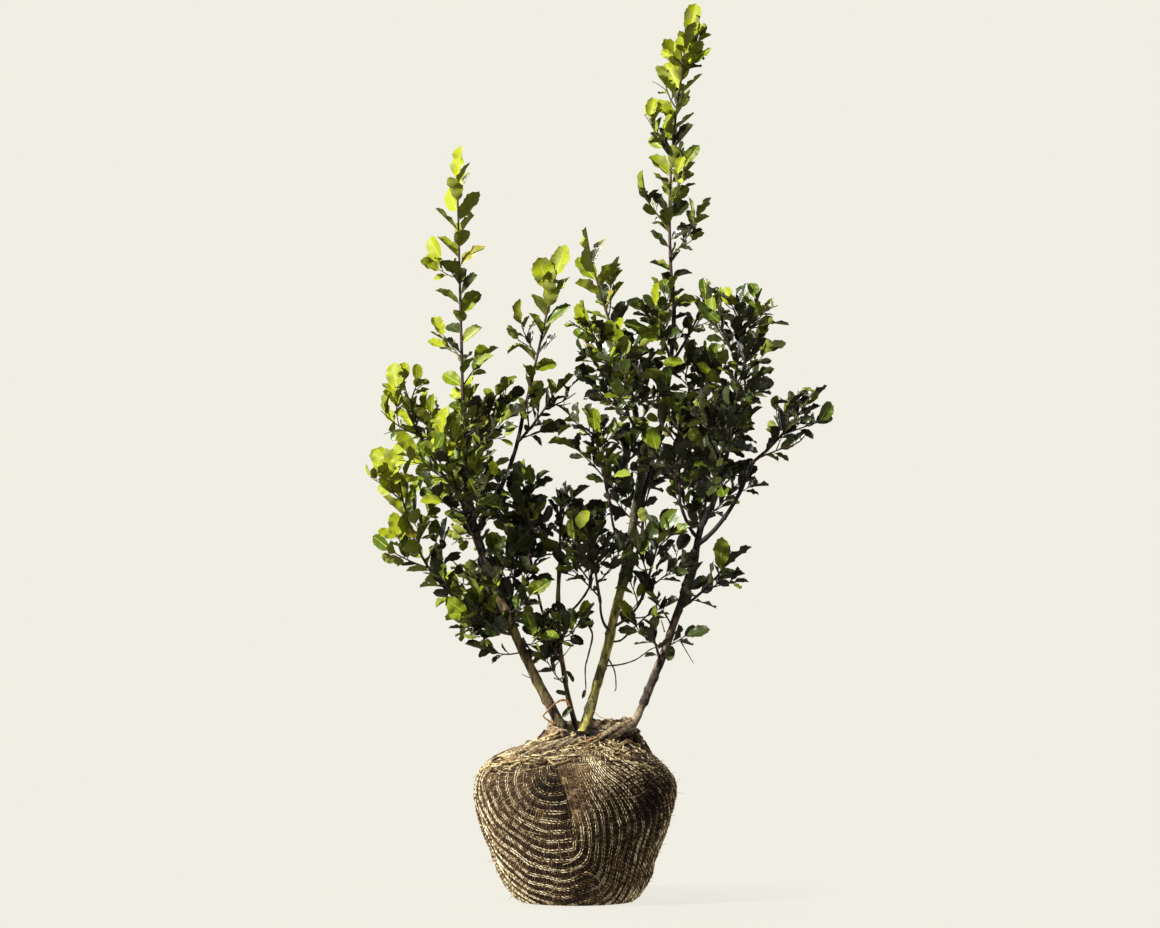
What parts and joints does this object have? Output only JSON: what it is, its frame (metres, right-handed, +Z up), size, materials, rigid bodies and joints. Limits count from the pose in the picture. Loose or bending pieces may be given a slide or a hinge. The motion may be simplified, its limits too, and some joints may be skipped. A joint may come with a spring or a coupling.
{
  "type": "meserve holly shrub on a wrapped root ball",
  "caption": "Young evergreen holly shrub of four upright stems with loose leafy shoots, standing on its root ball wrapped in jute cloth and netting.",
  "frame": {"origin": "middle of the flat underside of the root ball", "axes": "+Z up the plant, +X to the right of the viewer, +Y away from the viewer"},
  "size_m": [0.636, 0.4275, 1.2622],
  "materials": {
    "cloth": "coarse knitted jute over dark soil",
    "bark_brown": "matt brown bark",
    "bark_olive": "smooth olive green bark",
    "twig": "thin purplish brown bark",
    "leaf": "glossy evergreen leaf"
  },
  "bodies": {
    "root": {"root_ball": "cloth", "cloth_tie": "cloth", "cloth_collar": "cloth", "cloth_knot": "cloth", "stem_left": "bark_brown", "stem_slender": "bark_olive", "stem_centre": "bark_olive", "stem_right": "bark_brown", "leader_left": "bark_brown", "leader_centre": "bark_olive", "leader_right": "bark_olive", "bough_left_high": "twig", "bough_left_low": "twig", "bough_left_front": "twig", "bough_left_back": "twig", "bough_middle": "twig", "bough_slender_left": "twig", "bough_slender_right": "twig", "bough_centre_low": "twig", "bough_centre_left": "twig", "bough_centre_back": "twig", "bough_centre_right": "twig", "bough_right_inner": "twig", "bough_right_up": "twig", "bough_right_out": "twig", "bough_right_back": "twig", "foliage_left_spire": "leaf", "foliage_left_shoulder": "leaf", "foliage_left_edge": "leaf", "foliage_left_foot": "leaf", "foliage_left_front": "leaf", "foliage_left_back": "leaf", "foliage_left_heart": "leaf", "foliage_left_low_back": "leaf", "foliage_middle_back": "leaf", "foliage_middle_spire": "leaf", "foliage_middle_side": "leaf", "foliage_middle_left": "leaf", "foliage_slender_top": "leaf", "foliage_slender_right": "leaf", "foliage_slender_foot": "leaf", "foliage_right_spire": "leaf", "foliage_centre_spire": "leaf", "foliage_centre_side": "leaf", "foliage_centre_front": "leaf", "foliage_centre_back": "leaf", "foliage_right_crest": "leaf", "foliage_right_crown": "leaf", "foliage_right_shoulder": "leaf", "foliage_right_point": "leaf", "foliage_right_front": "leaf", "foliage_right_back": "leaf", "foliage_right_heart": "leaf", "foliage_right_core": "leaf", "foliage_centre_left": "leaf", "foliage_centre_low": "leaf", "foliage_centre_low_back": "leaf", "foliage_centre_right": "leaf", "foliage_right_low": "leaf", "foliage_right_foot": "leaf"}
  },
  "joints": []
}
